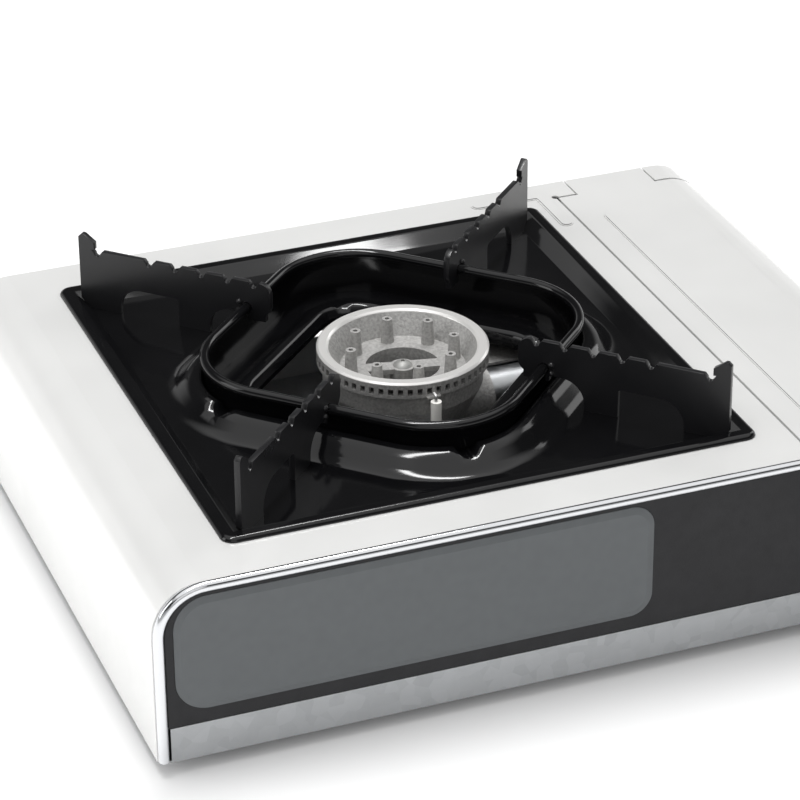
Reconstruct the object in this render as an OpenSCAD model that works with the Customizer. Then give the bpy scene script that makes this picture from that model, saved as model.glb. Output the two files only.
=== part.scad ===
// Portable gas stove with one burner and a side bay for a butane cartridge.
// Millimetres. Z is up, the control side faces -Y, and the cartridge bay is on the right (+X).

/* [Body] */
// Width of the stainless body
body_w = 360; // [358:1:366]
// Depth of the body, front trim to back edge
body_d = 285.5; // [284:0.5:290]
// Height of the deck above the table
deck_h = 84; // [82:0.5:92]
// Height of the rubber feet
foot_h = 6; // [4:0.5:9]
// Thickness of the body sheet
sheet_t = 0.8; // [0.6:0.1:1.2]
// Radius of the bend along both top edges
side_r = 21; // [19:0.5:23]

/* [Drip pan] */
// Outside width of the enamelled pan
pan_w = 231.3; // [230:0.1:232]
// Outside depth of the enamelled pan
pan_d = 236.2; // [235:0.1:238]
// Deck left bare between the left edge of the body and the pan
pan_left = 37.4; // [36:0.1:39]
// Deck left bare between the front edge of the body and the pan
pan_front = 26; // [25:0.5:27]
// Thickness of the pan sheet
pan_t = 1; // [0.8:0.1:1.2]
// Corner radius of the pan
pan_r = 5.5; // [5:0.25:8]
// Depth of the pan floor below the deck
pan_depth = 3.5; // [3:0.25:5]
// Half width of the raised collar round the burner, across its flats
collar_half = 74; // [73:0.5:76]
// Corner radius of the raised collar
collar_r = 42; // [40:0.5:46]
// Height of the collar above the pan floor
collar_h = 8; // [7:0.25:8.5]
// Half width of the mouth round the burner, across its flats
mouth_half = 49; // [47:0.5:52]

/* [Wind ring and pan supports] */
// Height of the top of the wind ring above the deck
ring_rise = 14.8; // [14:0.1:15.5]
// Diameter of the rolled bead on the ring
ring_bead_d = 4.4; // [3.6:0.2:5]
// Height of the pot above the deck
pot_rise = 25; // [24:0.5:28]
// Height of the pot stops above the teeth
stop_rise = 7; // [5:0.5:8]
// Thickness of the support plates
support_t = 2.6; // [2:0.1:3]
// Spacing of the notches in the supports
tooth_pitch = 12.8; // [12:0.1:13.2]
// Number of notches in each support
tooth_count = 5; // [3:1:5]

/* [Burner] */
// Diameter of the burner head
burner_d = 73.8; // [70:0.2:76]
// Height of the burner head above the deck
burner_rise = 10; // [9:0.25:11]
// Height of the burner head
burner_head_h = 7.2; // [6.8:0.1:8]
// Number of flame ports round the head
port_count = 56; // [40:1:60]
// Number of hollow jet posts inside the head
jet_count = 8; // [6:1:10]
// Distance of the burner to the right of the middle of the pan
burner_right = 2.95; // [2:0.05:4]
// Distance of the burner to the front of the middle of the pan
burner_forward = 3; // [2:0.1:4]

/* [Cartridge bay] */
// Diameter of the cartridge that the bay takes
cartridge_d = 67; // [64:0.5:68]
// Length of the cartridge
cartridge_len = 184; // [180:1:186]
// Width of the gap round the lid
lid_gap = 1.2; // [0.8:0.1:1.6]
// Thickness of the lid sheet
lid_t = 1; // [0.8:0.1:1.4]
// Width from the gap beside the deck to the right side of the body
lid_span = 77.6; // [77:0.1:79]
// Depth of the hinge tab in the corner of the lid
tab_d = 15.3; // [14:0.1:16]
// Width of the hinge tab in the corner of the lid
tab_w = 10.3; // [9:0.1:12]
// Travel of the locking lever
lever_travel = 18; // [14:0.5:18]
// Travel of the cartridge pusher
pusher_travel = 6; // [4:0.25:7]

/* [Controls] */
// Diameter of the control knob
knob_d = 44; // [38:0.5:46]
// Length of the knob in front of the fascia
knob_len = 16; // [14:0.5:22]
// Diameter of the valve spindle
spindle_d = 6; // [5:0.25:7]
// Width of the grey panel
panel_w = 202.2; // [190:0.1:205]

/* [Hidden] */
$fn = 72;

// Overrun of cuts past a face
cut = 1;
// Gap between pieces that don't touch
gap = 0.3;
// Radial clearance of a running fit
fit = 0.05;

// Places of the main pieces
left_x = -body_w / 2;
right_x = body_w / 2;
front_y = -body_d / 2;
back_y = body_d / 2;
pan_x = left_x + pan_left + pan_w / 2;
pan_y = front_y + pan_front + pan_d / 2;
burner_x = pan_x + burner_right;
burner_y = pan_y - burner_forward;
lid_x = right_x - lid_span;
// The model is moved back by half the knob, so that its box is centred on the origin
frame_y = knob_len / 2;

// Colours
steel = [0.84, 0.84, 0.83];
chrome = [0.78, 0.79, 0.82];
enamel = [0.05, 0.05, 0.06];
black_plastic = [0.1, 0.1, 0.11];
grey_panel = [0.42, 0.43, 0.44];
cast_alloy = [0.72, 0.72, 0.7];
brass = [0.8, 0.65, 0.35];
zinc = [0.66, 0.67, 0.68];
ceramic = [0.94, 0.93, 0.9];
rubber = [0.12, 0.12, 0.12];

// Body sheet, base and back
deck_in = deck_h - sheet_t;
base_t = 1;
base_top = foot_h + base_t;
fascia_d = 2.8;
bezel_d = 4.4;
bezel_w = 4.4;
bezel_proud = 1;
shell_front = front_y + bezel_d;
lip_h = 15.6;
pan_hole_inset = 4.5;
flange_h = 10;
lid_side_h = 10;
side_top = deck_h - side_r - lid_side_h;
axle_r = 2;
axle_drop = 7;
axle_z = deck_h - axle_drop;
axle_y = back_y - tab_d / 2;
ear_t = 1;
ear_h = 16;
corner_w = 26;
relief_r = 1.7;
rib_w = 6.5;
rib_h = 0.8;
rib_r = 4;
rib_side = 6.4;
rib_back = 11.85;
rib_arm = 31.5;

// A rectangle with rounded corners, centred
module rounded(w, d, r) {
    square([w - 2 * r, d], center = true);
    square([w, d - 2 * r], center = true);
    for (sx = [-1, 1], sy = [-1, 1])
        translate([sx * (w / 2 - r), sy * (d / 2 - r)]) circle(r);
}

// An outline with a flat foot at z0 and rounded top corners at z1
module arch(w, z0, z1, r) {
    translate([-w / 2, z0]) square([w, z1 - z0 - r]);
    translate([-w / 2 + r, z0]) square([w - 2 * r, z1 - z0]);
    for (s = [-1, 1])
        translate([s * (w / 2 - r), z1 - r]) circle(r);
}

// A flat shape in X and Z, carried along Y from y0 to y1
module along_y(y0, y1) {
    translate([0, y1, 0]) rotate([90, 0, 0]) linear_extrude(y1 - y0) children();
}

// A flat shape in Y and Z, carried along X from x0 to x1
module along_x(x0, x1) {
    translate([x0, 0, 0]) rotate([90, 0, 90]) linear_extrude(x1 - x0) children();
}

// A box from its lowest to its highest corner
module block(low, high) {
    translate(low) cube(high - low);
}

// A cylinder along Y from y0 to y1
module rod_y(x, z, r, y0, y1) {
    translate([x, y1, z]) rotate([90, 0, 0]) cylinder(r = r, h = y1 - y0);
}

// A cylinder along X from x0 to x1
module rod_x(y, z, r, x0, x1) {
    translate([x0, y, z]) rotate([0, 90, 0]) cylinder(r = r, h = x1 - x0);
}

// A slot with round ends between two points of a plane
module slot2d(a, b, r) {
    run = b - a;
    translate(a) rotate(atan2(run.y, run.x)) translate([0, -r]) square([norm(run), 2 * r]);
    translate(a) circle(r);
    translate(b) circle(r);
}

function unit(v) = v / norm(v);
function turned(v, s) = [-v.y * s, v.x * s];

// The section of a folded sheet: a centre line with a bend radius at each inner point.
// Each side of the sheet follows the same bends, so the section is one closed outline.
bend_steps = 5;
module folded(points, radii, t) {
    last = len(points) - 1;
    ahead = [for (i = [0:last]) each sheet_side(points, radii, t / 2, i)];
    behind = [for (i = [last:-1:0]) each [for (q = [len_of_side(i, last) - 1:-1:0])
        sheet_side(points, radii, -t / 2, i)[q]]];
    polygon(concat(ahead, behind));
}
function len_of_side(i, last) = i == 0 || i == last ? 1 : bend_steps + 1;
// Points of one side of the sheet at corner i; d is the distance to the left of the centre line
function sheet_side(p, radii, d, i) = let (last = len(p) - 1)
    i == 0 ? [p[0] + turned(unit(p[1] - p[0]), 1) * d] :
    i == last ? [p[last] + turned(unit(p[last] - p[last - 1]), 1) * d] :
    let (dir = unit(p[i] - p[i - 1]), turn = turn_of(p, i), hand = turn > 0 ? 1 : -1,
        centre = p[i] - dir * radii[i] * abs(tan(turn / 2)) + turned(dir, hand) * radii[i],
        spoke = turned(dir, -hand) * (radii[i] - hand * d))
    [for (k = [0:bend_steps]) centre + rotated(spoke, turn * k / bend_steps)];
function rotated(v, a) = [v.x * cos(a) - v.y * sin(a), v.x * sin(a) + v.y * cos(a)];
function turn_of(p, i) = let (a = p[i] - p[i - 1], b = p[i + 1] - p[i])
    atan2(a.x * b.y - a.y * b.x, a.x * b.x + a.y * b.y);

// A section swept round a square with rounded corners.
// The section's X is counted outward from the square's edge.
module sweep_square(half, r) {
    for (i = [0:3]) rotate(90 * i) {
        translate([half - r, half - r, 0]) rotate_extrude(angle = 90) translate([r, 0]) children();
        translate([half, half - r, 0]) rotate([90, 0, 0]) linear_extrude(2 * (half - r)) children();
    }
}

// Body shell: deck, left side, right side below the lid, and the hinge tab
module body_shell() {
    tab_end = lid_x + tab_w;
    corner_x = right_x - corner_w;
    color(steel) {
        difference() {
            along_y(shell_front, back_y) difference() {
                arch(body_w, foot_h, deck_h, side_r);
                translate([0, -cut]) arch(body_w - 2 * sheet_t, foot_h, deck_in + cut, side_r - sheet_t);
            }
            translate([pan_x, pan_y, deck_in - cut]) linear_extrude(sheet_t + 2 * cut)
                square([pan_w - 2 * pan_hole_inset, pan_d - 2 * pan_hole_inset], center = true);
            // Relief hole in the corner beside the tab
            translate([lid_x, back_y - tab_d, deck_in - cut]) cylinder(r = relief_r, h = sheet_t + 2 * cut);
            block([lid_x, shell_front - cut, side_top], [right_x + cut, back_y - tab_d, deck_h + cut]);
            block([tab_end, back_y - tab_d - cut, side_top], [corner_x, back_y + cut, deck_h + cut]);
        }
        // Folded edge of the deck beside the lid
        block([lid_x - sheet_t, shell_front, deck_h - flange_h], [lid_x, back_y - tab_d - relief_r, deck_in]);
        // Pressed ribs round the back corner of the pan
        deck_rib();
        // Rail behind the lid, which joins the right side to the deck
        block([lid_x, back_y - sheet_t, side_top], [right_x - sheet_t, back_y, axle_z - hinge_sweep]);
        block([lid_x, back_y - sheet_t, side_top], [tab_end - ear_t, back_y, deck_in]);
        // Ears that carry the hinge pins
        hinge_ear(tab_end - ear_t);
        hinge_ear(corner_x);
    }
}

module hinge_ear(x) {
    along_x(x, x + ear_t) difference() {
        translate([back_y - tab_d, deck_h - ear_h]) square([tab_d, ear_h - sheet_t]);
        translate([axle_y, axle_z]) circle(axle_r + fit);
    }
}

// Angled rib pressed up from the deck, parallel to the two back edges of the pan
module deck_rib() {
    translate([0, 0, deck_h]) {
        linear_extrude(rib_h / 2) rib_outline(rib_w);
        linear_extrude(rib_h) rib_outline(rib_w - 2 * rib_h);
    }
}

// Two arms of width w, with a round corner between them
module rib_outline(w) {
    x = lid_x - rib_side;
    y = back_y - rib_back;
    slot2d([x - rib_arm, y], [x - rib_r, y], w / 2);
    slot2d([x, y - rib_r], [x, y - rib_arm], w / 2);
    translate([x - rib_r, y - rib_r]) intersection() {
        difference() {
            circle(rib_r + w / 2);
            circle(rib_r - w / 2);
        }
        square(rib_r + w);
    }
}

// Back panel with cooling slots
vent_w = 3;
vent_len = 26;
vent_pitch = 9;
vent_rows = 3;
vent_columns = 6;
hinge_sweep = 11;
module back_panel() {
    z1 = deck_in;
    color(steel) along_y(back_y - 2 * sheet_t, back_y - sheet_t) difference() {
        arch(body_w - 2 * sheet_t, base_top, z1, side_r - sheet_t);
        translate([lid_x + tab_w - ear_t, axle_z - hinge_sweep])
            square([lid_span - tab_w - corner_w + 2 * ear_t, hinge_sweep + axle_drop]);
        for (row = [0:vent_rows - 1], column = [0:vent_columns - 1])
            translate([pan_x + (column - (vent_columns - 1) / 2) * (vent_len + vent_pitch),
                base_top + flange_h * 2 + row * vent_pitch])
                slot2d([-vent_len / 2, 0], [vent_len / 2, 0], vent_w / 2);
    }
}

// Base plate: a tray with turned-up edges, a front lip and slots for air
base_slot_len = 60;
base_slot_count = 7;
foot_inset = 24;
foot_r = 9;
screw_r = 1.6;
screw_reach = 4;
module base_plate() {
    inner_w = body_w - 2 * sheet_t;
    back = back_y - 2 * sheet_t;
    front = front_y + bezel_d - fascia_d;
    color(zinc) {
        difference() {
            block([-inner_w / 2, front, foot_h], [inner_w / 2, back, base_top]);
            for (i = [0:base_slot_count - 1], s = [0, 180])
                translate([burner_x + (i - (base_slot_count - 1) / 2) * 2 * vent_pitch,
                    burner_y, foot_h - cut])
                    rotate(s) linear_extrude(base_t + 2 * cut)
                    slot2d([0, base_slot_len / 2 + flange_h], [0, base_slot_len], vent_w / 2);
            for (sx = [-1, 1], sy = [-1, 1])
                translate([sx * (right_x - foot_inset), sy * (back_y - foot_inset), foot_h - cut])
                    cylinder(r = screw_r + fit, h = base_t + 2 * cut);
        }
        // Side edges
        for (s = [-1, 1])
            block([s > 0 ? inner_w / 2 - base_t : -inner_w / 2, shell_front, base_top],
                [s > 0 ? inner_w / 2 : -inner_w / 2 + base_t, back, base_top + flange_h]);
        // Front lip below the fascia
        block([-inner_w / 2 + bezel_w, front, base_top],
            [inner_w / 2 - bezel_w, front + base_t, foot_h + lip_h]);
    }
}

// Four rubber feet with a stem into the base
module rubber_feet() {
    taper = 1;
    color(rubber) for (sx = [-1, 1], sy = [-1, 1])
        translate([sx * (right_x - foot_inset), sy * (back_y - foot_inset), 0]) difference() {
            cylinder(r1 = foot_r - taper, r2 = foot_r, h = foot_h);
            translate([0, 0, foot_h - screw_reach]) cylinder(r = screw_r, h = foot_h);
        }
}

// Fascia: black moulded front with a recess for the panel, a lever slot and a spindle hole
fascia_back = front_y + bezel_d;
fascia_front = fascia_back - fascia_d;
fascia_foot = foot_h + lip_h + gap;
panel_h = 51.1;
panel_side = 8;
panel_drop = 4.8;
panel_x = left_x + panel_side + panel_w / 2;
panel_z = deck_h - panel_drop - panel_h / 2;
panel_pocket = 1.3;
panel_proud = 1.2;
panel_left_r = 14;
panel_right_r = 10;
knob_x = (lid_x + right_x + lid_t) / 2;
knob_z = 46;
lever_side = 9;
lever_x = lid_x + lever_side;
lever_w = 5;
lever_rest_z = 64;
lever_foot_z = lever_rest_z - lever_travel;
dial_w = 2.2;
knob_boss_r = spindle_d / 2 + dial_w;
dial_r = knob_d / 2 + dial_w;
dial_h = 0.8;
module front_fascia() {
    color(black_plastic) difference() {
        union() {
            along_y(fascia_front, fascia_back)
                arch(body_w - 2 * bezel_w - gap, fascia_foot, deck_h + bezel_proud - bezel_w - gap / 2,
                    side_r + bezel_proud - bezel_w);
            // Raised ring of the dial
            rod_y(knob_x, knob_z, dial_r, fascia_front - dial_h, fascia_front + cut);
        }
        // Pocket for the panel
        translate([panel_x, 0, panel_z]) along_y(fascia_front - cut, fascia_front + panel_pocket)
            panel_outline(-gap / 2);
        // Recess for the knob
        rod_y(knob_x, knob_z, knob_d / 2 + gap * 3, fascia_front - dial_h - cut, fascia_front);
        rod_y(knob_x, knob_z, knob_boss_r, fascia_front - cut, fascia_back + cut);
        along_y(fascia_front - cut, fascia_back + cut)
            slot2d([lever_x, lever_foot_z], [lever_x, lever_rest_z], lever_w / 2);
    }
}

// Bezel: polished trim round the sides and top of the fascia
module fascia_bezel() {
    r_mid = side_r + bezel_proud - bezel_w / 2;
    top_z = deck_h + bezel_proud - bezel_w / 2;
    half = body_w / 2 - bezel_w / 2;
    color(chrome) {
        for (s = [-1, 1]) {
            translate([s * half, 0, base_top]) linear_extrude(top_z - r_mid - base_top) bezel_section();
            translate([s * (half - r_mid), 0, top_z - r_mid]) rotate([90, 0, 0]) rotate_extrude(angle = 90,
                start = s > 0 ? 0 : 90) translate([r_mid, 0]) mirror([0, 1]) bezel_section();
        }
        translate([half - r_mid, 0, top_z]) rotate([0, -90, 0]) linear_extrude(2 * (half - r_mid))
            bezel_section();
    }
}

// Section of the bezel: a round bead with a narrower web behind it
module bezel_section() {
    nose_r = bezel_w / 2;
    translate([0, front_y + nose_r]) circle(nose_r);
    translate([-nose_r / 2, front_y + nose_r]) square([nose_r, bezel_d - nose_r]);
}

// Outline of the panel, drawn in by inset; its left corners are rounder than its right ones
module panel_outline(inset) {
    w = panel_w - 2 * inset;
    h = panel_h - 2 * inset;
    left_r = panel_left_r - inset;
    right_r = panel_right_r - inset;
    translate([left_r - w / 2, -h / 2]) square([w - left_r - right_r, h]);
    translate([-w / 2, left_r - h / 2]) square([left_r, h - 2 * left_r]);
    translate([w / 2 - right_r, right_r - h / 2]) square([right_r, h - 2 * right_r]);
    for (s = [-1, 1]) {
        translate([left_r - w / 2, s * (h / 2 - left_r)]) circle(left_r);
        translate([w / 2 - right_r, s * (h / 2 - right_r)]) circle(right_r);
    }
}

// Grey panel with a bevel round its face
bevel_w = 2.8;
bevel_h = 1;
module fascia_panel() {
    thick = panel_pocket + panel_proud;
    color(grey_panel) translate([panel_x, fascia_front + panel_pocket, panel_z]) rotate([90, 0, 0]) {
        linear_extrude(thick - bevel_h) panel_outline(0);
        linear_extrude(thick) panel_outline(bevel_w);
        translate([0, 0, thick - bevel_h]) panel_bevel();
    }
}

// The bevel: a wedge carried along the four sides and round the four corners
module panel_bevel() {
    left = panel_left_r - panel_w / 2;
    right = panel_w / 2 - panel_right_r;
    for (flip = [0, 1]) mirror([0, flip, 0]) {
        along_x(left, right) translate([panel_h / 2 - bevel_w, 0]) bevel_wedge();
        translate([left, panel_h / 2 - panel_left_r, 0]) rotate_extrude(angle = 90, start = 90)
            translate([panel_left_r - bevel_w, 0]) bevel_wedge();
        translate([right, panel_h / 2 - panel_right_r, 0]) rotate_extrude(angle = 90)
            translate([panel_right_r - bevel_w, 0]) bevel_wedge();
    }
    along_y(panel_right_r - panel_h / 2, panel_h / 2 - panel_right_r)
        translate([panel_w / 2 - bevel_w, 0]) bevel_wedge();
    along_y(panel_left_r - panel_h / 2, panel_h / 2 - panel_left_r)
        translate([bevel_w - panel_w / 2, 0]) mirror([1, 0]) bevel_wedge();
}

module bevel_wedge() {
    polygon([[0, 0], [bevel_w, 0], [0, bevel_h]]);
}

// Drip pan: rim, floor, raised collar, gutter and mouth
pan_floor = deck_h - pan_depth;
rim_w = 4.8;
rim_top = deck_h + 2.2;
gutter_z = pan_floor - 2.5;
gutter_wall = collar_half - 3;
mouth_rise = 2.5;
mouth_w = 5.5;
wall_run = 5.5;
floor_inset = 12;
module drip_pan() {
    color(enamel) translate([pan_x, pan_y, 0]) difference() {
        union() {
            pan_edge();
            // Floor round the collar
            translate([0, 0, pan_floor - pan_t]) linear_extrude(pan_t) difference() {
                square([pan_w - 2 * floor_inset, pan_d - 2 * floor_inset], center = true);
                rotate(45) rounded(2 * (collar_half + collar_run), 2 * (collar_half + collar_run),
                    collar_r + collar_run);
            }
            rotate(45) sweep_square(collar_half, collar_r) pan_collar();
            // Pressed floors of the notches
            intersection() {
                rotate(45) sweep_square(collar_half, collar_r) notch_fill();
                pan_notches(pan_t);
            }
        }
        pan_notches(0);
    }
}

// Edge of the pan: a bead with round corners, and a sloping wall with mitred corners
module pan_edge() {
    for (i = [0:3]) rotate(90 * i) {
        run = i % 2 == 0 ? pan_w : pan_d;
        reach = (i % 2 == 0 ? pan_d : pan_w) / 2;
        along_x(pan_r - run / 2, run / 2 - pan_r) translate([reach, 0]) rim_bead();
        translate([run / 2 - pan_r, reach - pan_r, 0]) rotate_extrude(angle = 90)
            translate([pan_r, 0]) rim_bead();
        intersection() {
            along_x(-run / 2, run / 2) translate([reach, 0]) rim_wall();
            translate([0, 0, gutter_z]) linear_extrude(2 * floor_inset) intersection() {
                polygon([[-run / 2, reach], [run / 2, reach],
                    [run / 2 - 2 * floor_inset, reach - 2 * floor_inset],
                    [2 * floor_inset - run / 2, reach - 2 * floor_inset]]);
                rounded(run - rim_w, 2 * reach - rim_w, pan_r - rim_w / 2);
            }
        }
    }
}

// Section of the bead that rests on the deck; X is counted outward from the edge of the pan
module rim_bead() {
    bead_r = rim_w / 2;
    intersection() {
        translate([-bead_r, rim_top - bead_r]) circle(bead_r);
        translate([-rim_w, deck_h + gap]) square([rim_w, rim_w]);
    }
}

// Section of the wall, from the bead down to the floor
module rim_wall() {
    bead_r = rim_w / 2;
    wall_x = -pan_hole_inset - gap - pan_t;
    folded([[-bead_r, rim_top - pan_t / 2], [wall_x, rim_top - pan_t / 2],
        [wall_x - wall_run, pan_floor - pan_t / 2], [-floor_inset - pan_t, pan_floor - pan_t / 2]],
        [0, pan_t, pan_t, 0], pan_t);
}

// Collar: one smooth slope from the floor to the crest, then the wall of the gutter
collar_run = 14;
crest_z = pan_floor + collar_h - pan_t / 2;
collar_path = [[collar_run + pan_t, pan_floor - pan_t / 2], [collar_run - 4 * pan_t, pan_floor - pan_t / 2],
    [2 * pan_t, crest_z], [gutter_wall - collar_half, crest_z]];
collar_bends = [0, 9 * pan_t, 8 * pan_t, 1.4 * pan_t];
module pan_collar() {
    t = pan_t;
    low = gutter_z - t / 2;
    wall = gutter_wall - collar_half;
    lip = mouth_half + mouth_w - collar_half;
    edge = mouth_half - collar_half;
    folded(concat(collar_path, [[wall, low], [lip + mouth_w, low], [lip + t, low + mouth_rise],
        [lip - mouth_w / 2, low + mouth_rise], [edge + t / 2, low - t], [edge + t / 2, low - 3 * t]]),
        concat(collar_bends, [t, 3 * t, 2 * t, 2 * t, t, 0]), t);
}

// The space under the middle of the sheet, at the collar and at the lip of the mouth
module notch_fill() {
    t = pan_t;
    low = gutter_z - t / 2;
    wall = gutter_wall - collar_half;
    path = concat(collar_path, [[wall, pan_floor - t / 2]]);
    bends = concat(collar_bends, [0]);
    polygon([for (i = [0:len(path) - 1]) each sheet_side(path, bends, 0, i)]);
    lip = mouth_half + mouth_w - collar_half;
    polygon([[lip + mouth_w, low], [lip + t, low + mouth_rise], [lip - mouth_w / 2, low + mouth_rise],
        [mouth_half - collar_half + t / 2, low - t]]);
}

// Locating notches: two across the crest of the collar, and one at each corner of the mouth.
// The cutters are rods with a radial axis, grown by a sheet thickness for the pressed floors.
collar_notch_r = 5.5;
collar_notch_depth = 3.5;
lip_notch_r = 4;
lip_notch_depth = 1.6;
module pan_notches(grow) {
    crest_reach = sqrt(2) * (collar_half - collar_r) + collar_r;
    mouth_reach = sqrt(2) * (collar_half - collar_r) + collar_r - collar_half + mouth_half;
    lip_top = gutter_z + mouth_rise;
    for (turn = [192.5, 269]) rotate(turn)
        translate([crest_reach - collar_run, 0, pan_floor + collar_h + collar_notch_r - collar_notch_depth])
        rotate([0, 90, 0]) cylinder(r = collar_notch_r + grow, h = 2 * collar_run);
    for (turn = [0:90:270]) rotate(turn)
        translate([mouth_reach - mouth_w, 0, lip_top + lip_notch_r - lip_notch_depth])
        rotate([0, 90, 0]) cylinder(r = lip_notch_r + grow, h = 3 * mouth_w);
}

// Wind ring: a tall band with a rolled bead on top, standing in the gutter of the pan
ring_half = collar_half - 4.4;
ring_r = collar_r - 4.4;
ring_top = deck_h + ring_rise;
ring_t = 1;
module wind_ring() {
    bead_r = ring_bead_d / 2;
    color(enamel) translate([pan_x, pan_y, 0]) rotate(45) sweep_square(ring_half, ring_r) {
        translate([0, ring_top - bead_r]) circle(bead_r);
        translate([-ring_t / 2, gutter_z]) square([ring_t, ring_top - bead_r - gutter_z]);
    }
}

// Pan supports: notched plates on the diagonals of the pan
support_nose = 58;
notch_first = 66;
notch_r = 1.4;
notch_deep = 1.5;
stop_notch = 143;
support_end = 152;
leg_in = 88;
leg_w = 15;
leg_arch_r = 10;
post_w = 19.5;
post_arch_r = 11;
post_chamfer = 4;
arm_h = 15.5;
weld_r = 1.3;
pot_z = deck_h + pot_rise;
module pan_support() {
    arm_z = pot_z - arm_h;
    post_in = support_end - post_w;
    stop_in = stop_notch + notch_r;
    nose_r = 5;
    corner_r = 1.5;
    slot_w = ring_t + 2 * gap;
    bead_z = ring_top - ring_bead_d / 2;
    translate([0, support_t / 2, 0]) rotate([90, 0, 0]) linear_extrude(support_t) difference() {
        union() {
            // Arm with a round nose
            translate([support_nose + nose_r, arm_z]) square([support_end - support_nose - nose_r, arm_h]);
            translate([support_nose, arm_z + nose_r]) square([nose_r, arm_h - 2 * nose_r]);
            for (z = [arm_z + nose_r, pot_z - nose_r]) translate([support_nose + nose_r, z]) circle(nose_r);
            // Hook below the arm at the wind ring
            translate([support_nose + nose_r / 2, arm_z - nose_r / 2])
                square([ring_half - support_nose, nose_r]);
            // Inner leg down to the floor of the pan, with an arch on its inner side
            translate([leg_in, pan_floor]) square([leg_w, arm_z - pan_floor + cut]);
            translate([leg_in - leg_arch_r, arm_z - leg_arch_r]) fillet(leg_arch_r, 0);
            translate([leg_in + leg_w, arm_z - corner_r]) fillet(corner_r, 1);
            // Outer post down to the floor in the corner of the pan
            translate([post_in, pan_floor]) square([post_w, arm_z - pan_floor + cut]);
            translate([post_in - post_arch_r, arm_z - post_arch_r]) fillet(post_arch_r, 0);
            // Pot stop
            polygon([[stop_in, pot_z - cut], [stop_in, pot_z + stop_rise / 2],
                [(stop_in + 2 * support_end) / 3, pot_z + stop_rise],
                [support_end - notch_r, pot_z + stop_rise],
                [support_end, pot_z + stop_rise - notch_r], [support_end, pot_z - cut]]);
        }
        // Chamfer of the foot, clear of the wall of the pan
        translate([support_end, pan_floor]) rotate(45) square(post_chamfer * sqrt(2), center = true);
        for (i = [0:tooth_count - 1]) translate([notch_first + i * tooth_pitch, pot_z]) tooth_notch();
        translate([stop_notch, pot_z]) tooth_notch();
        // Slot over the bead and wall of the wind ring
        translate([ring_half, bead_z]) circle(ring_bead_d / 2 + gap);
        translate([ring_half - slot_w / 2, arm_z - nose_r]) square([slot_w, bead_z - arm_z + nose_r]);
    }
    // Welds at the wind ring
    for (s = [-1, 1], rise = [1, 4])
        translate([ring_half + ring_bead_d / 2 + weld_r, s * support_t / 2,
            arm_z + rise * weld_r]) sphere(weld_r);
}

// A narrow notch with a round foot and sloping shoulders, open upward
module tooth_notch() {
    translate([0, -notch_deep]) circle(notch_r);
    polygon([[-notch_r, -notch_deep], [notch_r, -notch_deep],
        [2 * notch_r, cut / 4], [-2 * notch_r, cut / 4]]);
}

// A square of side r with a round bite, to fill an inner corner
module fillet(r, flip) {
    difference() {
        square(r);
        translate([flip ? r : 0, 0]) circle(r);
    }
}

// Direction from the middle of the pan to its corner
diagonal = atan2(pan_d, pan_w);
module placed_support(turn) {
    color(enamel) translate([pan_x, pan_y, 0]) rotate(turn) pan_support();
}

// Burner head: ported ring, dish with hollow jet posts, cross bar and hub
head_top = deck_h + burner_rise;
head_r = burner_d / 2;
head_foot = head_top - burner_head_h;
head_rim_w = 5;
head_wall = 2.2;
dish_drop = 10.5;
port_w = 2.2;
port_h = 2.9;
port_drop = 2.9;
jet_ring_r = 23;
jet_r = 2.2;
jet_hole_r = 1;
jet_top = head_top + 0.5;
chimney_r = 16;
hub_r = 5.5;
bar_w = 7;
target_w = 6;
target_d = 1.6;
seat_w = 1;
module burner_head() {
    dish_z = head_top - dish_drop;
    edge = 0.8;
    inner = head_r - head_rim_w;
    slope_r = inner - 5;
    color(cast_alloy) translate([burner_x, burner_y, 0]) {
        difference() {
            union() {
                rotate_extrude() difference() {
                    polygon([[chimney_r, dish_z], [slope_r, dish_z], [inner, head_top - edge],
                        [inner + edge, head_top], [head_r - edge, head_top], [head_r, head_top - edge],
                        [head_r, head_foot], [bowl_r - seat_w, head_foot],
                        [bowl_r - seat_w, head_foot + seat_w],
                        [head_r - head_wall, head_foot + seat_w],
                        [head_r - head_wall, head_top - head_wall], [inner + head_wall, head_top - head_wall],
                        [slope_r + head_wall / 2, dish_z - head_wall], [chimney_r, dish_z - head_wall]]);
                }
                for (i = [0:jet_count - 1]) rotate(360 / jet_count * i - 4)
                    translate([jet_ring_r, 0, dish_z - cut])
                    cylinder(r1 = jet_r * 1.35, r2 = jet_r, h = jet_top - dish_z + cut);
            }
            for (i = [0:jet_count - 1]) rotate(360 / jet_count * i - 4)
                translate([jet_ring_r, 0, dish_z - head_wall - cut])
                cylinder(r = jet_hole_r, h = jet_top - dish_z + head_wall + 2 * cut);
            for (i = [0:port_count - 1]) rotate(360 / port_count * (i + 0.5))
                translate([head_r - head_wall - cut, -port_w / 2, head_top - port_drop - port_h])
                cube([head_wall + 2 * cut, port_w, port_h]);
        }
        // Cross bar and hub in the air opening
        difference() {
            union() {
                translate([0, 0, dish_z - head_wall]) linear_extrude(head_wall) intersection() {
                    circle(chimney_r + cut / 2);
                    rotate(-12) square([2 * chimney_r + 2 * cut, bar_w], center = true);
                }
                translate([0, 0, dish_z - 2 * head_wall]) cylinder(r = hub_r, h = 2 * head_wall);
            }
            translate([0, 0, dish_z - 3 * head_wall]) cylinder(r = screw_r + gap, h = 4 * head_wall);
        }
        // Small ledge that draws the spark
        rotate(electrode_turn) translate([head_r - cut, -target_w / 2, head_foot])
            cube([target_d + cut, target_w, target_d / 2]);
    }
}

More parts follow.
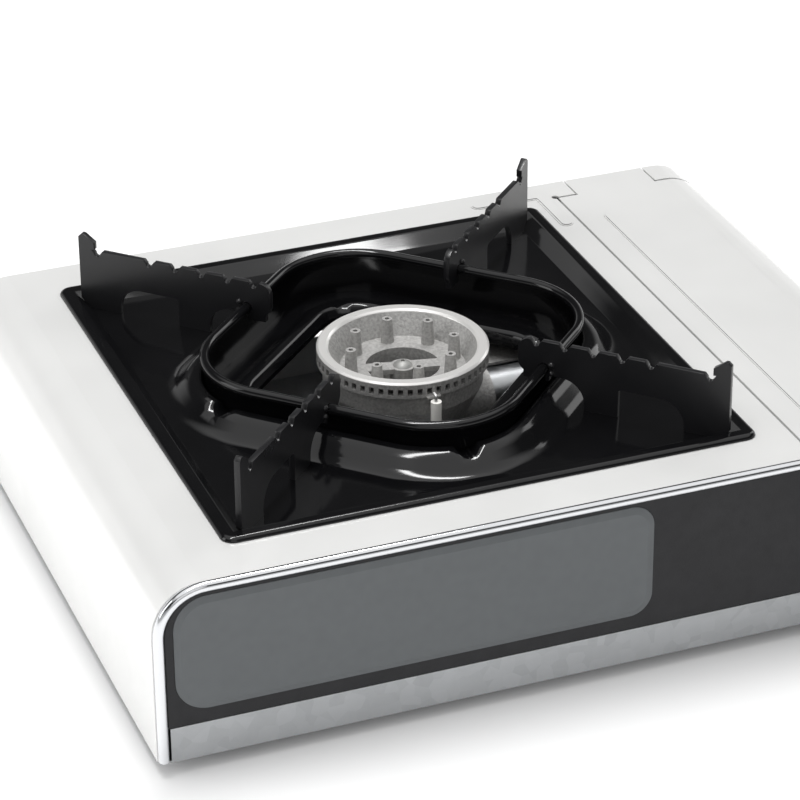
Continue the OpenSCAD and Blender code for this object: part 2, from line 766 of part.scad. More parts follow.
// Domed screw that holds the burner head
module burner_screw() {
    dish_z = head_top - dish_drop;
    dome_r = 4.2;
    dome_h = 2.2;
    socket_r = 0.9;
    shank = 9;
    color(steel) translate([burner_x, burner_y, dish_z]) difference() {
        union() {
            intersection() {
                translate([0, 0, dome_h - dome_ball(dome_r, dome_h)]) sphere(dome_ball(dome_r, dome_h));
                cylinder(r = dome_r, h = dome_h);
            }
            translate([0, 0, -shank]) cylinder(r = screw_r, h = shank + cut / 2);
        }
        translate([0, 0, dome_h - socket_r]) cylinder(r = socket_r, h = dome_h);
    }
}
// Radius of the ball whose cap has base radius r and height h
function dome_ball(r, h) = (r * r + h * h) / (2 * h);

// Burner bowl: cast chamber round a central chimney, with a seat for the mixing tube
bowl_r = 34.4;
bowl_foot_r = 25;
bowl_t = 2.4;
bowl_lift = 52;
bowl_foot = foot_h + bowl_lift;
bowl_straight = 9;
tube_r = 10.5;
tube_drop = 22;
seat_wall = 2.5;
tube_z = deck_h - tube_drop;
seat_r = tube_r + seat_wall;
module burner_bowl() {
    top = head_foot;
    straight = top - bowl_straight;
    chimney_top = head_top - dish_drop - head_wall;
    color(cast_alloy) translate([burner_x, burner_y, 0]) difference() {
        union() {
            rotate_extrude() polygon([[chimney_r, bowl_foot], [bowl_foot_r, bowl_foot],
                [bowl_r, straight], [bowl_r, top], [bowl_r - bowl_t, top], [bowl_r - bowl_t, straight],
                [bowl_foot_r - bowl_t, bowl_foot + bowl_t], [chimney_r + bowl_t, bowl_foot + bowl_t],
                [chimney_r + bowl_t, chimney_top], [chimney_r, chimney_top]]);
            rod_x(0, tube_z, seat_r, chimney_r + bowl_t / 2, bowl_foot_r + seat_r);
            // Post that takes the screw of the head, on two ribs
            translate([0, 0, bowl_foot]) cylinder(r = hub_r, h = bowl_post_h);
            for (a = [0, 90]) rotate(a) translate([-chimney_r - cut, -bowl_t / 2, bowl_foot])
                cube([2 * chimney_r + 2 * cut, bowl_t, bowl_post_h / 2]);
        }
        rod_x(0, tube_z, tube_r, bowl_foot_r - 2 * bowl_t, bowl_foot_r + seat_r + cut);
        translate([0, 0, bowl_foot + bowl_post_h / 2]) cylinder(r = screw_r + fit, h = bowl_post_h);
    }
}
bowl_post_h = head_top - dish_drop - 2 * head_wall - bowl_foot;

// Mixing tube: from the bowl to a flared mouth with the nozzle in its spider
tube_t = 1.2;
tube_start = burner_x + bowl_foot_r + bowl_t;
tube_side = 52;
tube_end = lid_x - tube_side;
mouth_flare = 3;
nozzle_r = 4;
module mixing_tube() {
    flare_len = 12;
    color(zinc) {
        translate([tube_start, burner_y, tube_z]) rotate([0, 90, 0]) rotate_extrude()
            polygon([[tube_r - tube_t, 0], [tube_r, 0], [tube_r, tube_end - tube_start - flare_len],
                [tube_r + mouth_flare, tube_end - tube_start],
                [tube_r + mouth_flare - tube_t, tube_end - tube_start],
                [tube_r - tube_t, tube_end - tube_start - flare_len]]);
        // Spider that holds the nozzle in the mouth
        translate([tube_end - tube_t * 2, burner_y, tube_z]) rotate([0, 90, 0])
            linear_extrude(tube_t * 2) difference() {
            union() {
                for (a = [0, 120, 240]) rotate(a)
                    translate([0, -tube_t]) square([tube_r + mouth_flare - tube_t, 2 * tube_t]);
                circle(nozzle_r + tube_t * 1.5);
            }
            circle(nozzle_r);
        }
    }
}

// Bracket that carries the burner bowl on the base
bracket_w = 30;
module burner_bracket() {
    span = 2 * bowl_foot_r;
    foot = 12;
    t = 1.2;
    color(zinc) translate([burner_x, burner_y, 0]) rotate(90) difference() {
        along_y(-bracket_w / 2, bracket_w / 2)
            folded([[-span / 2 - foot, base_top + t / 2], [-span / 2, base_top + t / 2],
                [-span / 2, bowl_foot - t / 2], [span / 2, bowl_foot - t / 2], [span / 2, base_top + t / 2],
                [span / 2 + foot, base_top + t / 2]], [0, 2 * t, 2 * t, 2 * t, 2 * t, 0], t);
        translate([0, 0, bowl_foot - 2 * t]) cylinder(r = hub_r, h = 3 * t);
    }
}

// Brass nozzle in the mouth of the mixing tube
nozzle_len = 14;
pipe_r = 2.5;
module gas_nozzle() {
    tip_len = 5;
    hex_r = 6;
    color(brass) translate([tube_end - 2 * tube_t, burner_y, tube_z]) rotate([0, 90, 0]) difference() {
        union() {
            translate([0, 0, -tip_len]) cylinder(r1 = nozzle_r / 2, r2 = nozzle_r, h = tip_len);
            cylinder(r = nozzle_r, h = nozzle_len);
            translate([0, 0, nozzle_len - tip_len]) cylinder(r = hex_r, h = tip_len, $fn = 6);
        }
        translate([0, 0, -tip_len - cut]) cylinder(r = jet_hole_r / 2, h = nozzle_len + tip_len);
        translate([0, 0, nozzle_len - tip_len]) cylinder(r = pipe_r + fit, h = tip_len + cut);
    }
}

// Gas pipe with round bends, from the regulator to the nozzle
pipe_bend = 12;
pipe_insert = 3;
pipe_side = 20;
pipe_stop = 2;
reg_setback = 24;
pipe_x = tube_end - 2 * tube_t + nozzle_len - pipe_insert;
reg_y = front_y + reg_setback;
reg_r = 19;
pipe_z = tube_z;
module gas_pipe() {
    corner_x = lid_x - pipe_side;
    reg_side = knob_x - reg_r - pipe_stop;
    color(brass) {
        rod_x(burner_y, tube_z, pipe_r, pipe_x, corner_x - pipe_bend);
        translate([corner_x - pipe_bend, burner_y - pipe_bend, tube_z]) rotate_extrude(angle = 90)
            translate([pipe_bend, 0]) circle(pipe_r);
        translate([corner_x, burner_y - pipe_bend, tube_z]) rotate([90, 0, 0])
            cylinder(r = pipe_r, h = burner_y - 2 * pipe_bend - reg_y);
        translate([corner_x + pipe_bend, reg_y + pipe_bend, tube_z]) rotate([0, 0, 180])
            rotate_extrude(angle = 90) translate([pipe_bend, 0]) circle(pipe_r);
        rod_x(reg_y, tube_z, pipe_r, corner_x + pipe_bend, reg_side);
    }
}

// Regulator and valve body, behind the fascia and in line with the knob
reg_ahead = 13;
reg_behind = 18;
reg_front = reg_y - reg_ahead;
reg_back = reg_y + reg_behind;
bulkhead_y = reg_back;
bulkhead_t = 1.2;
valve_r = 8;
cartridge_z = knob_z;
module regulator_body() {
    color(zinc) difference() {
        union() {
            rod_y(knob_x, knob_z, reg_r, reg_front, reg_back);
            rod_y(knob_x, knob_z, valve_r, fascia_back + cut, reg_front + cut);
            // Boss for the gas pipe
            rod_x(reg_y, pipe_z, pipe_r * 2, knob_x - reg_r - pipe_r, knob_x - reg_r / 3);
            // Neck of the governor
            rod_x(reg_y, knob_z, reg_r / 2, knob_x, knob_x + reg_r + pipe_stop);
            rod_y(knob_x, knob_z, socket_neck_r, reg_back - cut, bulkhead_y + bulkhead_t);
        }
        // Bore of the valve spindle
        rod_y(knob_x, knob_z, spindle_d / 2 + fit, fascia_back, reg_y);
        // Socket of the gas pipe
        rod_x(reg_y, pipe_z, pipe_r + fit, knob_x - reg_r - 2 * pipe_r, knob_x - reg_r - pipe_stop + gap);
    }
}

// Domed cover of the governor, with its screw lugs
governor_r = 16;
module governor_cover() {
    rim_h = 2.5;
    dome_h = 4.5;
    lug_r = 3;
    color(zinc) translate([knob_x + reg_r + pipe_stop, reg_y, knob_z]) rotate([0, 90, 0]) {
        linear_extrude(rim_h) {
            circle(governor_r);
            for (a = [45:90:315]) rotate(a) translate([governor_r - lug_r / 2, 0]) circle(lug_r);
        }
        rotate_extrude()
            polygon([[0, rim_h / 2], [governor_r - rim_h, rim_h / 2], [governor_r - rim_h, rim_h],
            [governor_r / 2, rim_h + dome_h], [lug_r, rim_h + dome_h], [lug_r, rim_h + dome_h + cut],
            [0, rim_h + dome_h + cut]]);
    }
}

// Socket that the valve cup of the cartridge pushes into
socket_neck_r = 9;
cup_r = 16.3;
cup_depth = 5;
socket_r = 20;
stem_r = 2.4;
socket_y = bulkhead_y + bulkhead_t;
socket_len = 9;
module cartridge_socket() {
    key_w = 6;
    color(zinc) difference() {
        union() {
            rod_y(knob_x, cartridge_z, socket_r, socket_y, socket_y + socket_len);
            // Key at the top that the notch of the cartridge flange lines up with
            block([knob_x - key_w / 2, socket_y, cartridge_z + socket_r - cut],
                [knob_x + key_w / 2, socket_y + socket_len + cup_depth, cartridge_z + socket_r + key_w / 3]);
        }
        rod_y(knob_x, cartridge_z, cup_r, socket_y + socket_len - cup_depth, socket_y + socket_len + cut);
        rod_y(knob_x, cartridge_z, stem_r, socket_y - cut, socket_y + socket_len);
    }
}

// Bulkhead between the controls and the cartridge, on a folded foot
bay_side = 3;
bulkhead_rise = 4;
bay_left = lid_x + bay_side;
bay_right = right_x - sheet_t - base_t - gap;
module regulator_bulkhead() {
    top = deck_h - side_r + bulkhead_rise;
    foot = 10;
    color(zinc) difference() {
        union() {
            block([bay_left, bulkhead_y, base_top], [bay_right, bulkhead_y + bulkhead_t, top]);
            block([bay_left, bulkhead_y - foot, base_top], [bay_right, bulkhead_y, base_top + bulkhead_t]);
        }
        rod_y(knob_x, knob_z, socket_neck_r + fit, bulkhead_y - cut, bulkhead_y + bulkhead_t + cut);
        // Clearance for the pusher
        block([bay_left - cut, bulkhead_y - foot - cut, base_top - cut],
            [slide_x + slide_w + gap * 3, bulkhead_y + bulkhead_t + cut, pin_z + tab_h]);
    }
}

// Valve spindle with a flat for the knob
spindle_cover = 5;
spindle_end = 3;
spindle_front = front_y - knob_len + spindle_cover;
spindle_back = reg_y - spindle_end;
flat_depth = 0.8;
module valve_spindle() {
    color(brass) difference() {
        rod_y(knob_x, knob_z, spindle_d / 2, spindle_front, spindle_back);
        block([knob_x - spindle_d, spindle_front - cut, knob_z + spindle_d / 2 - flat_depth],
            [knob_x + spindle_d, front_y - cut, knob_z + spindle_d]);
    }
}

// Control knob: skirt, grip bar with ribs and a pointer
module control_knob() {
    skirt_h = 5;
    grip_w = 11;
    grip_inset = 2;
    knob_front = front_y - knob_len;
    knob_back = fascia_front - gap;
    pointer_w = 1.6;
    rib_count = 32;
    groove_r = 0.8;
    color(black_plastic) difference() {
        union() {
            translate([knob_x, knob_back, knob_z]) rotate([90, 0, 0]) difference() {
                cylinder(r = knob_d / 2, h = skirt_h);
                for (i = [0:rib_count - 1]) rotate(360 / rib_count * i)
                    translate([knob_d / 2 + groove_r / 3, 0, -cut])
                        cylinder(r = groove_r, h = skirt_h + 2 * cut);
            }
            translate([knob_x, 0, knob_z]) along_y(knob_front, knob_back - skirt_h + cut) intersection() {
                circle(knob_d / 2 - grip_inset);
                square([grip_w, knob_d], center = true);
            }
            rod_y(knob_x, knob_z, knob_d / 4, knob_back - knob_len / 1.6, knob_back);
        }
        difference() {
            rod_y(knob_x, knob_z, spindle_d / 2, spindle_front, knob_back + cut);
            block([knob_x - spindle_d, spindle_front, knob_z + spindle_d / 2 - flat_depth],
                [knob_x + spindle_d, front_y - cut, knob_z + spindle_d]);
        }
        // Pointer groove
        block([knob_x - pointer_w / 2, knob_front - cut, knob_z + knob_d / 6],
            [knob_x + pointer_w / 2, knob_front + pointer_w / 2, knob_z + knob_d]);
    }
}

// Piezo igniter beside the valve, with a plunger that the spindle's cam would press
igniter_w = 9;
igniter_x = knob_x;
igniter_seat = 1.2;
igniter_set = 3;
igniter_z = knob_z + reg_r + igniter_w / 2 + igniter_seat;
igniter_front = reg_front + igniter_set;
igniter_back = bulkhead_y - igniter_seat;
plunger_r = 2.4;
plunger_out = 5;
module igniter_body() {
    wall = 2;
    color(black_plastic) difference() {
        union() {
            block([igniter_x - igniter_w / 2, igniter_front, igniter_z - igniter_w / 2],
                [igniter_x + igniter_w / 2, igniter_back, igniter_z + igniter_w / 2]);
            // Foot on the regulator
            block([igniter_x - igniter_w / 3, igniter_front + wall, knob_z + reg_r],
                [igniter_x + igniter_w / 3, reg_back - wall, igniter_z - igniter_w / 2 + wall / 2]);
        }
        rod_y(igniter_x, igniter_z, plunger_r + fit, igniter_front - cut, igniter_front + plunger_out * 2);
    }
}

module igniter_plunger() {
    color(rubber)
        rod_y(igniter_x, igniter_z, plunger_r, igniter_front - plunger_out,
            igniter_front + plunger_out - gap);
}

// Electrode beside the burner head
electrode_turn = -91;
electrode_out = 3.8;
electrode_drop = 17;
electrode_short = 0.4;
electrode_ring_r = head_r + electrode_out;
electrode_x = burner_x + electrode_ring_r * cos(electrode_turn);
electrode_y = burner_y + electrode_ring_r * sin(electrode_turn);
electrode_r = 2.3;
electrode_foot = deck_h - electrode_drop;
electrode_top = head_foot - electrode_short;
tip_r = 0.6;

// Ignition lead from the igniter to the electrode, clipped along the inside of the body
lead_r = 1.3;
lead_sides = 8;
lead_bend = 4;
lead_route = [
    [igniter_x, igniter_back, igniter_z],
    [igniter_x, igniter_back + lead_bend / 2, igniter_z],
    [igniter_x - lead_bend, igniter_back + 1.5 * lead_bend, igniter_z],
    [igniter_x - 3.5 * lead_bend, igniter_back + 2 * lead_bend, igniter_z],
    [lid_x + lead_bend / 2, igniter_back + 2 * lead_bend, igniter_z],
    [lid_x - 3 * lead_bend, igniter_back + 2 * lead_bend, igniter_z - lead_bend / 4],
    [lid_x - 8.5 * lead_bend, igniter_back + 2.5 * lead_bend, igniter_z - 1.5 * lead_bend],
    [lid_x - 15 * lead_bend, igniter_back + 4 * lead_bend, igniter_z - 2.5 * lead_bend],
    [lid_x - 21.5 * lead_bend, igniter_back + 7 * lead_bend, igniter_z - 3 * lead_bend],
    [lid_x - 26.5 * lead_bend, igniter_back + 10.5 * lead_bend, igniter_z - 3 * lead_bend],
    [electrode_x + 2 * lead_bend, electrode_y - 2 * lead_bend, electrode_foot - 1.5 * lead_bend],
    [electrode_x + 0.75 * lead_bend, electrode_y - 0.75 * lead_bend, electrode_foot - 1.6 * lead_bend],
    [electrode_x, electrode_y, electrode_foot - lead_bend],
    [electrode_x, electrode_y, electrode_foot]];
module ignition_lead() {
    color(rubber) tube(lead_route, lead_r, lead_sides);
}

// A round tube along a route, as one closed surface
module tube(route, r, sides) {
    last = len(route) - 1;
    rings = [for (i = [0:last]) ring_at(route, i, r, sides)];
    points = [for (ring = rings, p = ring) p];
    skin = [for (i = [0:last - 1], j = [0:sides - 1], k = [0, 1])
        let (a = i * sides + j, b = i * sides + (j + 1) % sides)
        k == 0 ? [a, b, a + sides] : [b, b + sides, a + sides]];
    first_cap = [for (j = [1:sides - 2]) [0, j + 1, j]];
    base = last * sides;
    last_cap = [for (j = [1:sides - 2]) [base, base + j, base + j + 1]];
    polyhedron(points = points, faces = concat([for (f = skin) [f[2], f[1], f[0]]],
        [for (f = first_cap) [f[2], f[1], f[0]]],
        [for (f = last_cap) [f[2], f[1], f[0]]]));
}
function along(route, i) = unit(route[min(i + 1, len(route) - 1)] - route[max(i - 1, 0)]);
// A steady side direction for the rings, square to the run
function side_of(dir) = unit(cross(dir, abs(dir.z) > 0.9 ? [1, 0.3, 0] : [0, 0, 1]));
function ring_at(route, i, r, sides) =
    let (dir = along(route, i), u = lead_side(route, i), v = cross(dir, u))
    [for (j = [0:sides - 1]) route[i] + u * r * cos(360 / sides * j) + v * r * sin(360 / sides * j)];
// The side direction carried from ring to ring, so that the tube doesn't twist
function lead_side(route, i) = i == 0 ? side_of(along(route, 0)) :
    let (before = lead_side(route, i - 1), dir = along(route, i)) unit(before - dir * (before * dir));

// Ceramic of the electrode
module electrode_ceramic() {
    skirt_h = 3;
    skirt_w = 0.9;
    color(ceramic) translate([electrode_x, electrode_y, 0]) difference() {
        union() {
            translate([0, 0, electrode_foot]) cylinder(r = electrode_r, h = electrode_top - electrode_foot);
            translate([0, 0, electrode_foot + skirt_h + electrode_clip_t])
                cylinder(r = electrode_r + skirt_w, h = skirt_h);
        }
        translate([0, 0, electrode_foot + lead_r]) cylinder(r = tip_r, h = electrode_top);
    }
}

// Bent wire tip that points at the flame ports
module electrode_tip() {
    bend = 1.4;
    rise = 2.6;
    reach = 1.1;
    color(steel) translate([electrode_x, electrode_y, 0]) rotate(electrode_turn + 180) {
        translate([0, 0, electrode_foot + lead_r])
            cylinder(r = tip_r, h = electrode_top + rise - bend - electrode_foot - lead_r);
        translate([bend, 0, electrode_top + rise - bend]) rotate([90, 0, 0]) rotate([0, 0, 90])
            rotate_extrude(angle = 90) translate([bend, 0]) circle(tip_r);
        translate([bend, 0, electrode_top + rise]) rotate([0, 90, 0]) cylinder(r = tip_r, h = reach);
    }
}

// Clip that holds the electrode to the bowl
electrode_clip_t = 1.2;
module electrode_bracket() {
    w = 8;
    clip_rise = 3;
    clip_wall = 1.7;
    z = electrode_foot + clip_rise;
    rise = (z + electrode_clip_t - bowl_foot) / (head_foot - bowl_straight - bowl_foot);
    inner = bowl_foot_r + (bowl_r - bowl_foot_r) * rise;
    color(zinc) translate([burner_x, burner_y, 0]) rotate(electrode_turn) difference() {
        union() {
            translate([inner + gap / 3, -w / 2, z]) cube([electrode_ring_r - inner, w, electrode_clip_t]);
            translate([electrode_ring_r, 0, z]) cylinder(r = electrode_r + clip_wall, h = electrode_clip_t);
        }
        translate([electrode_ring_r, 0, z - cut]) cylinder(r = electrode_r, h = electrode_clip_t + 2 * cut);
    }
}

// Partition between the burner chamber and the cartridge bay
partition_side = 4;
module partition_plate() {
    x = lid_x - partition_side;
    color(zinc) along_x(x, x + sheet_t) difference() {
        translate([shell_front + cut, base_top])
            square([back_y - 2 * sheet_t - shell_front - cut, deck_in - base_top]);
        translate([reg_y, pipe_z]) circle(pipe_r + cut);
        translate([igniter_back + 2 * lead_bend, igniter_z]) circle(lead_r + cut);
        // Slot for the heat plate
        translate([heat_y - heat_w / 2 - cut, heat_low - heat_t - gap])
            square([heat_w + 2 * cut, heat_t + 2 * gap]);
        // Air holes along the top
        for (i = [-3:3]) translate([pan_y + i * 3 * vent_pitch, deck_h - side_r])
            slot2d([-vent_pitch, 0], [vent_pitch, 0], vent_w / 2);
    }
}

// Heat plate: warms the cartridge, from beside the burner to under the cradle
heat_w = 26;
heat_t = 1.2;
heat_back = 30;
heat_drop = 18;
heat_run = 48;
heat_start = 2;
cradle_play = 1;
heat_y = burner_y + heat_back;
trough_r = cartridge_d / 2 + cradle_play;
trough_t = 1;
heat_low = cartridge_z - trough_r - trough_t;
heat_top = deck_h - heat_drop;
module heat_plate() {
    riser_x = burner_x + bowl_r + heat_run;
    t = heat_t;
    color(cast_alloy) along_y(heat_y - heat_w / 2, heat_y + heat_w / 2)
        folded([[burner_x + bowl_r + heat_start, heat_top], [riser_x, heat_top], [riser_x, heat_low - t / 2],
            [knob_x, heat_low - t / 2]], [0, 3 * t, 3 * t, 0], t);
}

// Cradle: a trough under the cartridge on two cross feet
trough_angle = 34;
trough_gap = 14;
cradle_foot = 4;
trough_front = socket_y + socket_len + trough_gap;
trough_len = 150;
module cartridge_cradle() {
    reach = 2 * trough_r;
    color(zinc) {
        along_y(trough_front, trough_front + trough_len) translate([knob_x, cartridge_z]) intersection() {
            difference() {
                circle(trough_r + trough_t);
                circle(trough_r);
            }
            polygon([[0, 0], [-reach * sin(trough_angle), -reach * cos(trough_angle)], [0, -reach],
                [reach * sin(trough_angle), -reach * cos(trough_angle)]]);
        }
        for (y = [trough_front + cradle_foot, trough_front + trough_len - 2 * cradle_foot])
            along_y(y, y + 2 * trough_t) difference() {
                translate([knob_x - trough_r * sin(trough_angle), base_top])
                    square([2 * trough_r * sin(trough_angle),
                        trough_r * (1 - cos(trough_angle)) + heat_low - base_top]);
                translate([knob_x, cartridge_z]) circle(trough_r + trough_t / 2);
            }
    }
}

// Bar along the bay that the lever draws forward, narrow beside the lever's plate
slide_side = 3.4;
slide_w = 9;
slide_neck = 3;
slide_t = 1.5;
slide_rise = 5;
slide_tail = 6;
pin_back = 12;
pin_r = 2;
lever_arm_drop = 34;
lever_tail = 5;
tab_h = 4;
slide_x = lid_x + slide_side;
slide_z = base_top + slide_rise;
slide_front = fascia_back + pusher_travel + cut;
pusher_y = socket_y + socket_len - cup_depth + cartridge_len + pusher_travel;
slide_back = pusher_y + slide_tail;
pin_z = lever_rest_z - lever_arm_drop;
pin_y = fascia_back + pin_back;
module pusher_bar() {
    tab_len = 8;
    shoulder_y = pin_y + lever_tail + pusher_travel + 2 * gap;
    color(zinc) {
        block([slide_x, slide_front, slide_z], [slide_x + slide_neck, slide_back, slide_z + slide_t]);
        block([slide_x, shoulder_y, slide_z], [slide_x + slide_w, slide_back, slide_z + slide_t]);
        // Tab and pin at the lever
        block([slide_x, pin_y - tab_len / 2, slide_z],
            [slide_x + slide_t, pin_y + tab_len / 2, pin_z + tab_h]);
        rod_x(pin_y, pin_z, pin_r, slide_x + slide_t - cut / 2, lever_x + lever_t / 2 + slide_t);
    }
}

// Plate on the bar behind the cartridge, with pressed ribs
module cartridge_pusher() {
    plate_w = 50;
    plate_rise = 16;
    foot = slide_z + slide_t;
    top = cartridge_z + plate_rise;
    color(zinc) {
        difference() {
            block([slide_x, pusher_y, foot], [knob_x + plate_w / 2, pusher_y + slide_t, top]);
            rod_y(knob_x, cartridge_z, plate_w / 8, pusher_y - cut, pusher_y + slide_t + cut);
        }
        for (s = [-1, 1]) block([knob_x + s * plate_w / 4 - slide_t, pusher_y + slide_t, foot + slide_w],
            [knob_x + s * plate_w / 4 + slide_t, pusher_y + 2 * slide_t, top - slide_w / 2]);
    }
}

// Guides on the base that the pusher slides in
guide_count = 3;
guide_first = 35;
guide_pitch = 70;
module pusher_guides() {
    wall = 1.2;
    len_y = 10;
    color(zinc) for (i = [0:guide_count - 1])
        translate([0, slide_front + guide_first + i * guide_pitch, 0]) difference() {
            block([slide_x - wall - gap, 0, base_top],
                [slide_x + slide_w + wall + gap, len_y, slide_z + slide_t + wall + gap]);
            block([slide_x - gap, -cut, slide_z - gap],
                [slide_x + slide_w + gap, len_y + cut, slide_z + slide_t + gap]);
        }
}

// Lever plate with the slanted slot that draws the pusher forward
lever_t = 1.5;
grip_reach = 1;
module lock_lever() {
    slot_r = pin_r + 2 * fit;
    plate_back = pin_y + lever_tail;
    plate_front = fascia_back + lever_t;
    plate_foot = pin_z - 2 * pin_r - fit;
    color(zinc) {
        along_x(lever_x - lever_t / 2, lever_x + lever_t / 2) difference() {
            union() {
                translate([plate_front, plate_foot])
                    square([plate_back - plate_front, pin_z + lever_travel + pin_r * 2 - plate_foot]);
                translate([plate_front, plate_foot])
                    square([plate_back - plate_front - pusher_travel, lever_rest_z + pin_r * 2 - plate_foot]);
            }
            slot2d([pin_y, pin_z], [pin_y - pusher_travel, pin_z + lever_travel], slot_r);
        }
        // Neck through the fascia
        block([lever_x - lever_t / 2, fascia_front - grip_reach, lever_rest_z - lever_t],
            [lever_x + lever_t / 2, plate_front + cut, lever_rest_z + lever_t]);
    }
}

// Finger grip of the lever
module lever_grip() {
    w = 11;
    h = 15;
    d = 9;
    corner = 3;
    groove_pitch = 4;
    groove_r = 1;
    back = fascia_front - gap;
    color(black_plastic) difference() {
        translate([lever_x, 0, lever_rest_z]) along_y(back - d, back) rounded(w, h, corner);
        block([lever_x - lever_t / 2 - fit, fascia_front - grip_reach - fit, lever_rest_z - lever_t - fit],
            [lever_x + lever_t / 2 + fit, back + cut, lever_rest_z + lever_t + fit]);
        for (i = [-1:1]) translate([lever_x - w, back - d, lever_rest_z + i * groove_pitch])
            rotate([0, 90, 0]) cylinder(r = groove_r, h = 2 * w);
    }
}

// Lid over the cartridge bay, hinged at the back
lid_x0 = lid_x + lid_gap;
lid_front = fascia_back + gap * 2;
lid_back = back_y - tab_d - lid_gap * 1.1;
tongue_x0 = lid_x + tab_w + lid_gap * 0.7;
tongue_x1 = right_x - corner_w - lid_gap * 0.7;
pad_left = 11.4;
pad_front = 12;
pad_back = 20.3;
pad_side = 2;
pad_h = 0.7;
lid_flange = 8;
ear_cut = 2;
pad_r = 8;
module lid() {
    skirt_foot = side_top + lid_gap;
    pad_low = [lid_x0 + pad_left, lid_front + pad_front];
    pad_high = [right_x - side_r - pad_side, lid_back - pad_back];
    pad = pad_high - pad_low;
    color(steel) {
        // Top and rounded right side
        along_y(lid_front, lid_back) intersection() {
            difference() {
                arch(body_w, foot_h, deck_h, side_r);
                arch(body_w - 2 * lid_t, foot_h - cut, deck_h - lid_t, side_r - lid_t);
            }
            translate([lid_x0, skirt_foot]) square([body_w, deck_h]);
        }
        // Edges turned down at the left, the front and the back
        block([lid_x0, lid_front, deck_h - lid_flange],
            [lid_x0 + lid_t, axle_y - hinge_sweep, deck_h - lid_t]);
        block([lid_x0, lid_front, deck_h - lid_flange],
            [right_x - side_r, lid_front + lid_t, deck_h - lid_t]);
        // Tongue between the hinge ears
        block([tongue_x0, lid_back, deck_h - lid_t], [tongue_x1, back_y, deck_h]);
        block([tongue_x0, back_y - lid_t, axle_z - axle_drop + ear_cut], [tongue_x1, back_y, deck_h - lid_t]);
        lid_ear(tongue_x0);
        lid_ear(tongue_x1 - ear_t);
        // Raised pad in the middle of the lid
        translate([(pad_low.x + pad_high.x) / 2, (pad_low.y + pad_high.y) / 2, deck_h - cut / 2]) {
            linear_extrude(pad_h / 2 + cut / 2) rounded(pad.x, pad.y, pad_r);
            linear_extrude(pad_h + cut / 2) rounded(pad.x - 2 * pad_h, pad.y - 2 * pad_h, pad_r - pad_h);
        }
    }
}

module lid_ear(x) {
    along_x(x, x + ear_t) difference() {
        union() {
            translate([axle_y, axle_z]) circle(axle_drop - ear_cut);
            translate([axle_y - axle_drop + ear_cut, axle_z])
                square([2 * (axle_drop - ear_cut), axle_drop - lid_t / 2]);
        }
        translate([axle_y, axle_z]) circle(axle_r + fit);
    }
}

// Headed pins in the ears of the hinge
module lid_hinge_pins() {
    head = 1.2;
    color(steel) {
        rod_x(axle_y, axle_z, axle_r, lid_x + tab_w - ear_t - head, tongue_x0 + ear_t + head);
        rod_x(axle_y, axle_z, axle_r * 1.6, lid_x + tab_w - ear_t - head, lid_x + tab_w - ear_t);
        rod_x(axle_y, axle_z, axle_r, tongue_x1 - ear_t - head, right_x - corner_w + ear_t + head);
        rod_x(axle_y, axle_z, axle_r * 1.6, right_x - corner_w + ear_t, right_x - corner_w + ear_t + head);
    }
}

// Screws of the feet, from below through the base
module base_screws() {
    head_r = 3.2;
    head_h = 1.6;
    color(zinc) for (sx = [-1, 1], sy = [-1, 1])
        translate([sx * (right_x - foot_inset), sy * (back_y - foot_inset), base_top]) {
            translate([0, 0, -base_t - screw_reach])
                cylinder(r = screw_r, h = base_t + screw_reach + cut / 2);
            intersection() {
                cylinder(r = head_r, h = head_h);
                translate([0, 0, head_h - dome_ball(head_r, head_h)]) sphere(dome_ball(head_r, head_h));
            }
        }
}

// Screws that hold the fascia, seen from behind
module fascia_screws() {
    head_r = 3;
    head_h = 2;
    side = 40;
    rise = 20;
    color(zinc) for (x = [left_x + side, pan_x, lid_x - side / 2])
        rod_y(x, base_top + rise, head_r, fascia_back, fascia_back + head_h);
}

// Everything stands in the frame of the finished stove
module placed() {
    translate([0, frame_y, 0]) children();
}

placed() body_shell();
placed() back_panel();
placed() base_plate();
placed() rubber_feet();
placed() front_fascia();
placed() fascia_bezel();
placed() fascia_panel();
placed() drip_pan();
placed() wind_ring();
placed() placed_support(180 + diagonal);  // support_front_left
placed() placed_support(360 - diagonal);  // support_front_right
placed() placed_support(diagonal);  // support_back_right
placed() placed_support(180 - diagonal);  // support_back_left
placed() burner_head();
placed() burner_screw();
placed() burner_bowl();
placed() mixing_tube();
placed() burner_bracket();
placed() gas_nozzle();
placed() gas_pipe();
placed() regulator_body();
placed() governor_cover();
placed() cartridge_socket();
placed() regulator_bulkhead();
placed() valve_spindle();
placed() control_knob();
placed() igniter_body();
placed() igniter_plunger();
placed() ignition_lead();
placed() electrode_ceramic();
placed() electrode_tip();
placed() electrode_bracket();
placed() partition_plate();
placed() heat_plate();
placed() cartridge_cradle();
placed() pusher_bar();
placed() cartridge_pusher();
placed() pusher_guides();
placed() lock_lever();
placed() lever_grip();
placed() lid();
placed() lid_hinge_pins();
placed() base_screws();
placed() fascia_screws();
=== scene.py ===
"""Looks of the portable gas stove: materials, softened edges, floor, light and camera.

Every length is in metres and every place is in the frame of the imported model.
"""
import math

import bmesh
import bpy
from mathutils import Matrix, Vector


